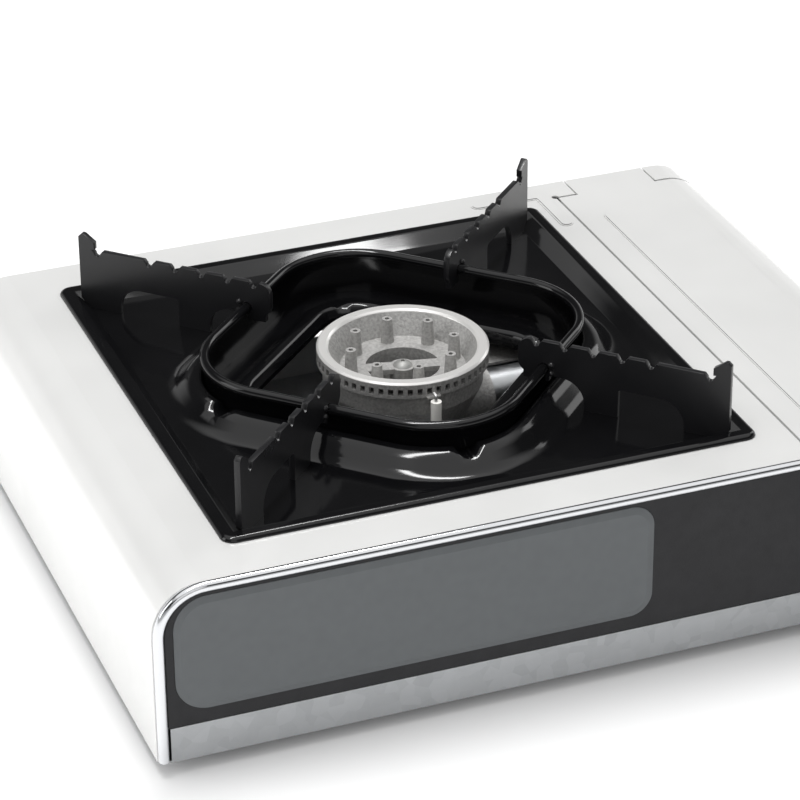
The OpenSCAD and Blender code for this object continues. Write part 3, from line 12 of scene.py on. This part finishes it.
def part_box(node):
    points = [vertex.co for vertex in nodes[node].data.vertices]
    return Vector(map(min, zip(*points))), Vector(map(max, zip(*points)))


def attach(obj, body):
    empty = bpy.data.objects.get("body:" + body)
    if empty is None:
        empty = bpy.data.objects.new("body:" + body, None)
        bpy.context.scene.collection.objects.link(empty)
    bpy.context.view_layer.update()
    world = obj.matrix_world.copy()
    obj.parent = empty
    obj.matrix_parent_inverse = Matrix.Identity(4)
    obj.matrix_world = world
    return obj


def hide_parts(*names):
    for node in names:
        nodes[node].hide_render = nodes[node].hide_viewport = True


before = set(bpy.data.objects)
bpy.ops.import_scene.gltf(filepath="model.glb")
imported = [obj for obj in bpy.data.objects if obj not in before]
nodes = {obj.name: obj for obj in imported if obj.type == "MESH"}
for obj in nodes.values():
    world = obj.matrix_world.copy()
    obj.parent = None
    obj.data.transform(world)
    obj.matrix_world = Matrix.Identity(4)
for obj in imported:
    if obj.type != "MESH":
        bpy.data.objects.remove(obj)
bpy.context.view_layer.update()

MM = 0.001

# Camera, as fitted to the straight edges in the photo: metres, degrees, and millimetres of lens and sensor
CAMERA_PLACE = Vector((-0.4792, -1.19075, 0.7649))
CAMERA_AZIMUTH = -20.76
CAMERA_ELEVATION = 28.61
CAMERA_ROLL = 0.47
CAMERA_LENS = 152.7
CAMERA_SENSOR = 36.0

# Colours, as linear values
WHITE = (1, 1, 1)
STEEL = (0.82, 0.82, 0.81)
CHROME = (0.78, 0.79, 0.81)
ENAMEL = (0.003, 0.003, 0.0034)
PANEL_GREY = (0.104, 0.112, 0.117)
BLACK_PLASTIC = (0.012, 0.012, 0.0135)
CAST = (0.43, 0.425, 0.415)
SCREW_GREY = (0.33, 0.33, 0.32)
ZINC = (0.4, 0.41, 0.42)
BRASS = (0.66, 0.46, 0.20)
CERAMIC = (0.83, 0.82, 0.78)
RUBBER = (0.012, 0.012, 0.012)
FLOOR_WHITE = (0.9, 0.9, 0.9)

# Deck and burner, read from the frame
deck_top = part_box("body_shell")[1].z
head_low, head_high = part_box("burner_head")
head_radius = (head_high.x - head_low.x) / 2
burner_x = (head_low.x + head_high.x) / 2
burner_y = head_high.y - head_radius

# Turned ring on top of the burner head: its width, and how far it reaches down the side
RING_WIDTH = 5.2 * MM
RING_DROP = 1.6 * MM

# Painted shade on the pressed steps in the deck and lid: surfaces whose normal has a Z under this, and this
# near the deck's top, are painted darker
SHADED_STEP_NORMAL = 0.6
SHADED_STEP_DEPTH = 0.6 * MM

# Softened edges: points nearer than the weld distance become one, faces within the flat angle are joined,
# edges over the edge angle are rounded, and edges under the smooth angle are shaded smoothly
SUPPORT_EDGE = 0.45 * MM
EDGE_SEGMENTS = 2
WELD_DISTANCE = 0.01 * MM
FLAT_ANGLE = math.radians(1)
EDGE_ANGLE = math.radians(35)
SMOOTH_ANGLE = math.radians(40)
LARGE_FACE = 150 * MM * MM

# Spans of a node's value: where most of a noise lies, and the whole of it
NOISE_SPAN = (0.3, 0.7)
FULL_SPAN = (0, 1)


# Node helpers

class Graph:
    """A node tree, with short calls that make and join its nodes."""

    def __init__(self, tree):
        self.tree = tree

    def node(self, kind, **values):
        made = self.tree.nodes.new(kind)
        for key, value in values.items():
            setattr(made, key, value)
        return made

    def feed(self, socket, value):
        """Links an input to another node's output, or sets it to a number or a colour."""
        if isinstance(value, bpy.types.NodeSocket):
            self.tree.links.new(value, socket)
        elif isinstance(value, tuple):
            socket.default_value = (*value, 1)
        else:
            socket.default_value = value

    def axes(self, vector):
        """The X, Y and Z of a vector."""
        made = self.node("ShaderNodeSeparateXYZ")
        self.feed(made.inputs["Vector"], vector)
        return made.outputs

    def math(self, operation, *values):
        made = self.node("ShaderNodeMath", operation=operation)
        for slot, value in enumerate(values):
            self.feed(made.inputs[slot], value)
        return made.outputs["Value"]

    def ranged(self, value, low, high, span=NOISE_SPAN):
        """Turns the span of a value into low to high."""
        made = self.node("ShaderNodeMapRange")
        made.inputs["From Min"].default_value, made.inputs["From Max"].default_value = span
        made.inputs["To Min"].default_value = low
        made.inputs["To Max"].default_value = high
        self.feed(made.inputs["Value"], value)
        return made.outputs["Result"]

    def mixed(self, factor, first, second):
        """The first colour where the factor is 0, and the second where it is 1."""
        made = self.node("ShaderNodeMix", data_type="RGBA")
        self.feed(made.inputs["Factor"], factor)
        for socket, colour in zip(colour_sockets(made.inputs), (first, second)):
            self.feed(socket, colour)
        return colour_sockets(made.outputs)[0]


class Shader(Graph):
    """A material, with its surface's inputs and the marks that vary them."""

    def __init__(self, name, colour, metallic, roughness):
        self.material = bpy.data.materials.new(name)
        self.material.use_nodes = True
        super().__init__(self.material.node_tree)
        self.surface = self.tree.nodes["Principled BSDF"].inputs
        self.set("Base Color", colour)
        self.set("Metallic", metallic)
        self.set("Roughness", roughness)
        coordinates = self.node("ShaderNodeTexCoord").outputs
        self.place = coordinates["Object"]
        self.facing = coordinates["Normal"]
        self.bump = None

    def set(self, name, value):
        self.feed(self.surface[name], value)

    def noise(self, size, detail, stretch=(1, 1, 1)):
        """Noise with marks of about the given size, and longer ones where stretch is under 1."""
        mapping = self.node("ShaderNodeMapping")
        mapping.inputs["Scale"].default_value = stretch
        self.feed(mapping.inputs["Vector"], self.place)
        made = self.node("ShaderNodeTexNoise")
        made.inputs["Scale"].default_value = 1 / size
        made.inputs["Detail"].default_value = detail
        self.feed(made.inputs["Vector"], mapping.outputs["Vector"])
        return made.outputs["Fac"]

    def colour_from(self, value, first, second, span=NOISE_SPAN):
        self.set("Base Color", self.mixed(self.ranged(value, low=0, high=1, span=span), first, second))

    def roughness_from(self, value, low, high, span=NOISE_SPAN):
        self.set("Roughness", self.ranged(value, low, high, span))

    def bump_from(self, value, depth):
        """Adds a bump of the given depth to those that the surface has."""
        made = self.node("ShaderNodeBump")
        made.inputs["Distance"].default_value = depth
        self.feed(made.inputs["Height"], value)
        if self.bump is not None:
            self.feed(made.inputs["Normal"], self.bump)
        self.bump = made.outputs["Normal"]
        self.set("Normal", self.bump)


def colour_sockets(sockets):
    return [socket for socket in sockets if socket.type == "RGBA"]


def shade(colour, share):
    return tuple(min(1.0, channel * share) for channel in colour)


# Materials

def stainless():
    """Rolled sheet with fine lines along X and soft clouds, and painted shade on the steep faces of its
    pressed steps.
    """
    line_size, line_depth, line_stretch = 0.6 * MM, 0.002 * MM, (0.02, 1, 1)
    cloud_size, cloud_depth = 60 * MM, 0.02 * MM
    wear_size = 20 * MM
    cloud_dark, cloud_bright, painted_step_shade = 0.97, 1.02, 0.25
    look = Shader("stainless", STEEL, metallic=0.3, roughness=0.22)
    lines = look.noise(line_size, detail=4, stretch=line_stretch)
    cloud = look.noise(cloud_size, detail=2)
    # Painted shade: steep faces just under the deck's top get a much darker steel colour, standing in for
    # the shade along the pressed steps
    leaning = look.math("LESS_THAN", look.axes(look.facing)["Z"], SHADED_STEP_NORMAL)
    near_top = look.math("GREATER_THAN", look.axes(look.place)["Z"], deck_top - SHADED_STEP_DEPTH)
    shaded_steps = look.math("MULTIPLY", leaning, near_top)
    sheet = look.mixed(look.ranged(cloud, low=0, high=1), shade(STEEL, cloud_dark),
                       shade(STEEL, cloud_bright))
    look.set("Base Color", look.mixed(shaded_steps, sheet, shade(STEEL, painted_step_shade)))
    look.roughness_from(look.noise(wear_size, detail=4), low=0.16, high=0.24)
    look.bump_from(lines, line_depth)
    look.bump_from(cloud, cloud_depth)
    return look.material


def polished_chrome():
    """Bright trim with faint waves and wipe marks."""
    wipe_size = 10 * MM
    wave_size, wave_depth = 30 * MM, 0.02 * MM
    look = Shader("chrome", CHROME, metallic=1.0, roughness=0.08)
    look.roughness_from(look.noise(wipe_size, detail=4), low=0.05, high=0.14)
    look.bump_from(look.noise(wave_size, detail=2), wave_depth)
    return look.material


def gloss_enamel():
    """Black vitreous coat of the pan and ring, with the long waves of a fired surface."""
    mottle_size, mottle_bright = 20 * MM, 1.4
    sheen_size = 30 * MM
    wave_size, wave_depth = 50 * MM, 0.4 * MM
    look = Shader("gloss_enamel", ENAMEL, metallic=0.0, roughness=0.12)
    look.colour_from(look.noise(mottle_size, detail=4), ENAMEL, shade(ENAMEL, mottle_bright))
    look.roughness_from(look.noise(sheen_size, detail=2), low=0.09, high=0.14)
    look.bump_from(look.noise(wave_size, detail=2), wave_depth)
    return look.material


def satin_enamel():
    """Duller and greyer coat of the pot supports."""
    coat_bright = 2.5
    sheen_size = 20 * MM
    wave_size, wave_depth = 30 * MM, 0.1 * MM
    look = Shader("satin_enamel", shade(ENAMEL, coat_bright), metallic=0.0, roughness=0.3)
    look.roughness_from(look.noise(sheen_size, detail=2), low=0.27, high=0.33)
    look.bump_from(look.noise(wave_size, detail=2), wave_depth)
    return look.material


def matte_panel():
    """Grey painted panel with a fine grain."""
    mottle_size, mottle_dark, mottle_bright = 4 * MM, 0.96, 1.04
    sheen_size = 2 * MM
    grain_size, grain_depth = 0.6 * MM, 0.02 * MM
    look = Shader("matte_panel", PANEL_GREY, metallic=0.0, roughness=0.55)
    look.colour_from(look.noise(mottle_size, detail=5), shade(PANEL_GREY, mottle_dark),
                     shade(PANEL_GREY, mottle_bright))
    look.roughness_from(look.noise(sheen_size, detail=3), low=0.5, high=0.62)
    look.bump_from(look.noise(grain_size, detail=3), grain_depth)
    return look.material


def black_plastic():
    """Moulded black plastic with a fine grain and a weak mirror."""
    mottle_size, mottle_bright = 10 * MM, 1.3
    sheen_size = 3 * MM
    grain_size, grain_depth = 0.8 * MM, 0.03 * MM
    mirror_level = 0.3
    look = Shader("black_plastic", BLACK_PLASTIC, metallic=0.0, roughness=0.4)
    look.set("Specular IOR Level", mirror_level)
    look.colour_from(look.noise(mottle_size, detail=4), BLACK_PLASTIC, shade(BLACK_PLASTIC, mottle_bright))
    look.roughness_from(look.noise(sheen_size, detail=3), low=0.35, high=0.5)
    look.bump_from(look.noise(grain_size, detail=2), grain_depth)
    return look.material


def satin_screw():
    """Dull grey screw in the middle of the burner head."""
    wear_size = 1 * MM
    look = Shader("satin_screw", SCREW_GREY, metallic=0.6, roughness=0.4)
    look.roughness_from(look.noise(wear_size, detail=3), low=0.45, high=0.6)
    return look.material


# Cast metal of the bowl, the heat plate and the head: its grain, how metallic it is, and its shades
CAST_GRAIN = 1.2 * MM
CAST_DEPTH = 0.22 * MM
CAST_METALLIC = 0.55
CAST_DARK = 0.75
CAST_BRIGHT = 1.15


def cast_alloy():
    """Grey sand-cast metal."""
    wear_size = 2 * MM
    look = Shader("cast_alloy", CAST, CAST_METALLIC, roughness=0.5)
    grain = look.noise(CAST_GRAIN, detail=5)
    look.colour_from(grain, shade(CAST, CAST_DARK), shade(CAST, CAST_BRIGHT))
    look.roughness_from(look.noise(wear_size, detail=4), low=0.42, high=0.62)
    look.bump_from(grain, CAST_DEPTH)
    return look.material


def turned_alloy():
    """The burner head: cast in the dish and on the side, smooth and bright on the turned ring."""
    mottle_size, mottle_dark, mottle_bright = 0.4 * MM, 1.85, 1.95
    cast_bump, turned_bump = 1.0, 0.05
    cast_roughness, turned_roughness = 0.52, 0.3
    look = Shader("turned_alloy", CAST, CAST_METALLIC, roughness=0.45)
    x, y, z = look.axes(look.place)
    off_x = look.math("SUBTRACT", x, burner_x)
    off_y = look.math("SUBTRACT", y, burner_y)
    squares = look.math("ADD", look.math("MULTIPLY", off_x, off_x), look.math("MULTIPLY", off_y, off_y))
    radius = look.math("SQRT", squares)
    on_ring = look.math("GREATER_THAN", radius, head_radius - RING_WIDTH)
    near_top = look.math("GREATER_THAN", z, head_high.z - RING_DROP)
    turned = look.math("MULTIPLY", on_ring, near_top)
    grain = look.noise(CAST_GRAIN, detail=5)
    fine = look.noise(mottle_size, detail=3)
    cast = look.mixed(look.ranged(grain, low=0, high=1), shade(CAST, CAST_DARK), shade(CAST, CAST_BRIGHT))
    smooth = look.mixed(look.ranged(fine, low=0, high=1), shade(CAST, mottle_dark),
                        shade(CAST, mottle_bright))
    look.set("Base Color", look.mixed(turned, cast, smooth))
    look.roughness_from(turned, cast_roughness, turned_roughness, FULL_SPAN)
    grain_share = look.ranged(turned, cast_bump, turned_bump, FULL_SPAN)
    look.bump_from(look.math("MULTIPLY", grain, grain_share), CAST_DEPTH)
    return look.material


def zinc_plate():
    """Zinc-plated sheet with its spangle."""
    spangle_size, spangle_dark, spangle_bright = 6 * MM, 0.9, 1.05
    wear_size = 4 * MM
    grain_size, grain_depth = 1 * MM, 0.02 * MM
    look = Shader("zinc_plate", ZINC, metallic=1.0, roughness=0.35)
    spangle = look.node("ShaderNodeTexVoronoi")
    spangle.inputs["Scale"].default_value = 1 / spangle_size
    look.feed(spangle.inputs["Vector"], look.place)
    look.colour_from(spangle.outputs["Color"], shade(ZINC, spangle_dark), shade(ZINC, spangle_bright),
                     FULL_SPAN)
    look.roughness_from(look.noise(wear_size, detail=3), low=0.28, high=0.42)
    look.bump_from(look.noise(grain_size, detail=3), grain_depth)
    return look.material


def plain_brass():
    """Turned brass, a little dull in patches."""
    patch_size, patch_dark, patch_bright = 5 * MM, 0.8, 1.1
    wear_size = 2 * MM
    look = Shader("brass", BRASS, metallic=1.0, roughness=0.3)
    look.colour_from(look.noise(patch_size, detail=4), shade(BRASS, patch_dark), shade(BRASS, patch_bright))
    look.roughness_from(look.noise(wear_size, detail=3), low=0.22, high=0.4)
    return look.material


def glazed_ceramic():
    """White glazed electrode body."""
    mottle_size, mottle_dark = 3 * MM, 0.95
    wave_size, wave_depth = 1 * MM, 0.02 * MM
    look = Shader("ceramic", CERAMIC, metallic=0.0, roughness=0.25)
    look.colour_from(look.noise(mottle_size, detail=3), shade(CERAMIC, mottle_dark), CERAMIC)
    look.bump_from(look.noise(wave_size, detail=2), wave_depth)
    return look.material


def matte_rubber():
    """Matte rubber with dusty patches."""
    dust_size, dust_bright = 2 * MM, 1.8
    wear_size = 1 * MM
    grain_size, grain_depth = 0.8 * MM, 0.05 * MM
    look = Shader("rubber", RUBBER, metallic=0.0, roughness=0.7)
    look.colour_from(look.noise(dust_size, detail=4), RUBBER, shade(RUBBER, dust_bright))
    look.roughness_from(look.noise(wear_size, detail=3), low=0.6, high=0.8)
    look.bump_from(look.noise(grain_size, detail=3), grain_depth)
    return look.material


def pale_floor():
    """Matte floor that keeps the stove's shadow."""
    wear_size = 50 * MM
    look = Shader("floor", FLOOR_WHITE, metallic=0.0, roughness=0.7)
    look.roughness_from(look.noise(wear_size, detail=3), low=0.65, high=0.75)
    return look.material


# Dressing

def give(material, *names):
    """Puts one material on every slot of the named CAD nodes."""
    for name in names:
        mesh = nodes[name].data
        if not mesh.materials:
            mesh.materials.append(material)
        for slot in range(len(mesh.materials)):
            mesh.materials[slot] = material


def keep_flat(mesh):
    """Marks the outlines of large faces as sharp, so that the rounded edges don't bend their shading."""
    edges = {edge.key: edge for edge in mesh.edges}
    for face in mesh.polygons:
        if face.area > LARGE_FACE:
            for key in face.edge_keys:
                edges[key].use_edge_sharp = True


def softened(node, name, body, material, width):
    """A smoothly shaded copy of a CAD node that takes its place, with edges rounded over by the width."""
    shape = bmesh.new()
    shape.from_mesh(nodes[node].data)
    bmesh.ops.remove_doubles(shape, verts=shape.verts, dist=WELD_DISTANCE)
    bmesh.ops.dissolve_limit(shape, angle_limit=FLAT_ANGLE, verts=shape.verts, edges=shape.edges)
    if width:
        edges = [edge for edge in shape.edges if edge.is_manifold and edge.calc_face_angle() > EDGE_ANGLE]
        bmesh.ops.bevel(shape, geom=edges, offset=width, segments=EDGE_SEGMENTS, profile=0.5,
                        affect="EDGES", clamp_overlap=True)
    mesh = bpy.data.meshes.new(name)
    shape.to_mesh(mesh)
    shape.free()
    for face in mesh.polygons:
        face.use_smooth = True
    mesh.set_sharp_from_angle(angle=SMOOTH_ANGLE)
    if width:
        keep_flat(mesh)
    mesh.materials.append(material)
    piece = bpy.data.objects.new(name, mesh)
    bpy.context.scene.collection.objects.link(piece)
    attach(piece, body)
    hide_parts(node)


give(stainless(), "body_shell", "back_panel", "lid", "lid_hinge_pins", "electrode_tip")
give(polished_chrome(), "fascia_bezel")
give(matte_panel(), "fascia_panel")
give(black_plastic(), "front_fascia", "igniter_body", "control_knob", "lever_grip")
give(cast_alloy(), "burner_bowl", "heat_plate")
give(turned_alloy(), "burner_head")
give(satin_screw(), "burner_screw")
give(zinc_plate(), "base_plate", "mixing_tube", "burner_bracket", "regulator_body", "governor_cover",
     "cartridge_socket", "regulator_bulkhead", "electrode_bracket", "partition_plate",
     "cartridge_cradle", "pusher_bar", "cartridge_pusher", "pusher_guides", "lock_lever", "base_screws",
     "fascia_screws")
give(plain_brass(), "gas_nozzle", "gas_pipe", "valve_spindle")
give(glazed_ceramic(), "electrode_ceramic")
give(matte_rubber(), "rubber_feet", "ignition_lead", "igniter_plunger")

satin = satin_enamel()
for corner in ("front_left", "front_right", "back_right", "back_left"):
    give(satin, "support_" + corner)
    softened("support_" + corner, "rounded_support_" + corner, "pan_set", satin, SUPPORT_EDGE)

enamel = gloss_enamel()
for pressing in ("drip_pan", "wind_ring"):
    give(enamel, pressing)
    softened(pressing, "smooth_" + pressing, "pan_set", enamel, 0)

# Floor
FLOOR_HALF = 6.0
FLOOR_CORNERS = [(-FLOOR_HALF, -FLOOR_HALF, 0), (FLOOR_HALF, -FLOOR_HALF, 0),
                 (FLOOR_HALF, FLOOR_HALF, 0), (-FLOOR_HALF, FLOOR_HALF, 0)]
floor_mesh = bpy.data.meshes.new("floor")
floor_mesh.from_pydata(FLOOR_CORNERS, [], [range(len(FLOOR_CORNERS))])
floor_mesh.materials.append(pale_floor())
floor = bpy.data.objects.new("floor", floor_mesh)
bpy.context.scene.collection.objects.link(floor)

# Lamps: place, width, height, and power in watts
AIM = Vector((-0.02, 0.0, 0.08))
LAMPS = {
    "top_softbox": ((-0.1, 0.1, 1.4), 1.2, 0.14, 13),
    "left_softbox": ((-1.5, 0.3, 0.7), 0.7, 0.9, 4),
    "right_softbox": ((1.3, 0.6, 0.8), 0.5, 0.9, 2.5),
    "front_fill": ((-0.5, -1.6, 0.9), 1.4, 0.7, 2.5),
}
for name, (place, width, height, power) in LAMPS.items():
    light = bpy.data.lights.new(name, "AREA")
    light.shape = "RECTANGLE"
    light.size = width
    light.size_y = height
    light.energy = power
    lamp = bpy.data.objects.new(name, light)
    lamp.location = place
    lamp.rotation_euler = (AIM - Vector(place)).to_track_quat("-Z", "Y").to_euler()
    bpy.context.scene.collection.objects.link(lamp)

# Surroundings: their strength for the stove and for the camera, and what mirrored rays see, as the height
# of a ray's direction with the strength there
FILL_STRENGTH = 0.75
CAMERA_STRENGTH = 1.0
SURROUNDINGS = ((0.0, 0.55), (0.2, 0.45), (0.36, 0.05), (0.62, 0.05), (0.78, 1.0))


def studio_world():
    """White surroundings, with a dark backdrop that only reflections show."""
    world = bpy.data.worlds.new("studio")
    bpy.context.scene.world = world
    world.use_nodes = True
    sky = Graph(world.node_tree)
    rays = sky.node("ShaderNodeLightPath").outputs
    direction = sky.node("ShaderNodeTexCoord").outputs["Generated"]
    ramp = sky.node("ShaderNodeValToRGB")
    sky.feed(ramp.inputs["Fac"], sky.axes(direction)["Z"])
    stops = ramp.color_ramp.elements
    while len(stops) < len(SURROUNDINGS):
        stops.new(stops[-1].position)
    for stop, (height, level) in zip(stops, SURROUNDINGS):
        stop.position = height
        stop.color = (*shade(WHITE, level), 1)
    plain = sky.ranged(rays["Is Camera Ray"], FILL_STRENGTH, CAMERA_STRENGTH, FULL_SPAN)
    strength = sky.node("ShaderNodeMix")
    sky.feed(strength.inputs["Factor"], rays["Is Glossy Ray"])
    sky.feed(strength.inputs["A"], plain)
    sky.feed(strength.inputs["B"], ramp.outputs["Color"])
    background = sky.tree.nodes["Background"].inputs
    sky.feed(background["Color"], WHITE)
    sky.feed(background["Strength"], strength.outputs["Result"])


studio_world()

# Camera
camera = bpy.data.objects.new("camera", bpy.data.cameras.new("camera"))
camera.data.lens = CAMERA_LENS
camera.data.sensor_width = CAMERA_SENSOR
azimuth = math.radians(CAMERA_AZIMUTH)
elevation = math.radians(CAMERA_ELEVATION)
back = Vector((math.sin(azimuth) * math.cos(elevation),
               -math.cos(azimuth) * math.cos(elevation), math.sin(elevation)))
turn = (-back).to_track_quat("-Z", "Y").to_matrix() @ Matrix.Rotation(-math.radians(CAMERA_ROLL), 3, "Z")
camera.matrix_world = Matrix.Translation(CAMERA_PLACE) @ turn.to_4x4()
bpy.context.scene.collection.objects.link(camera)
bpy.context.scene.camera = camera
bpy.context.scene.view_settings.view_transform = "Standard"

bpy.context.view_layer.update()
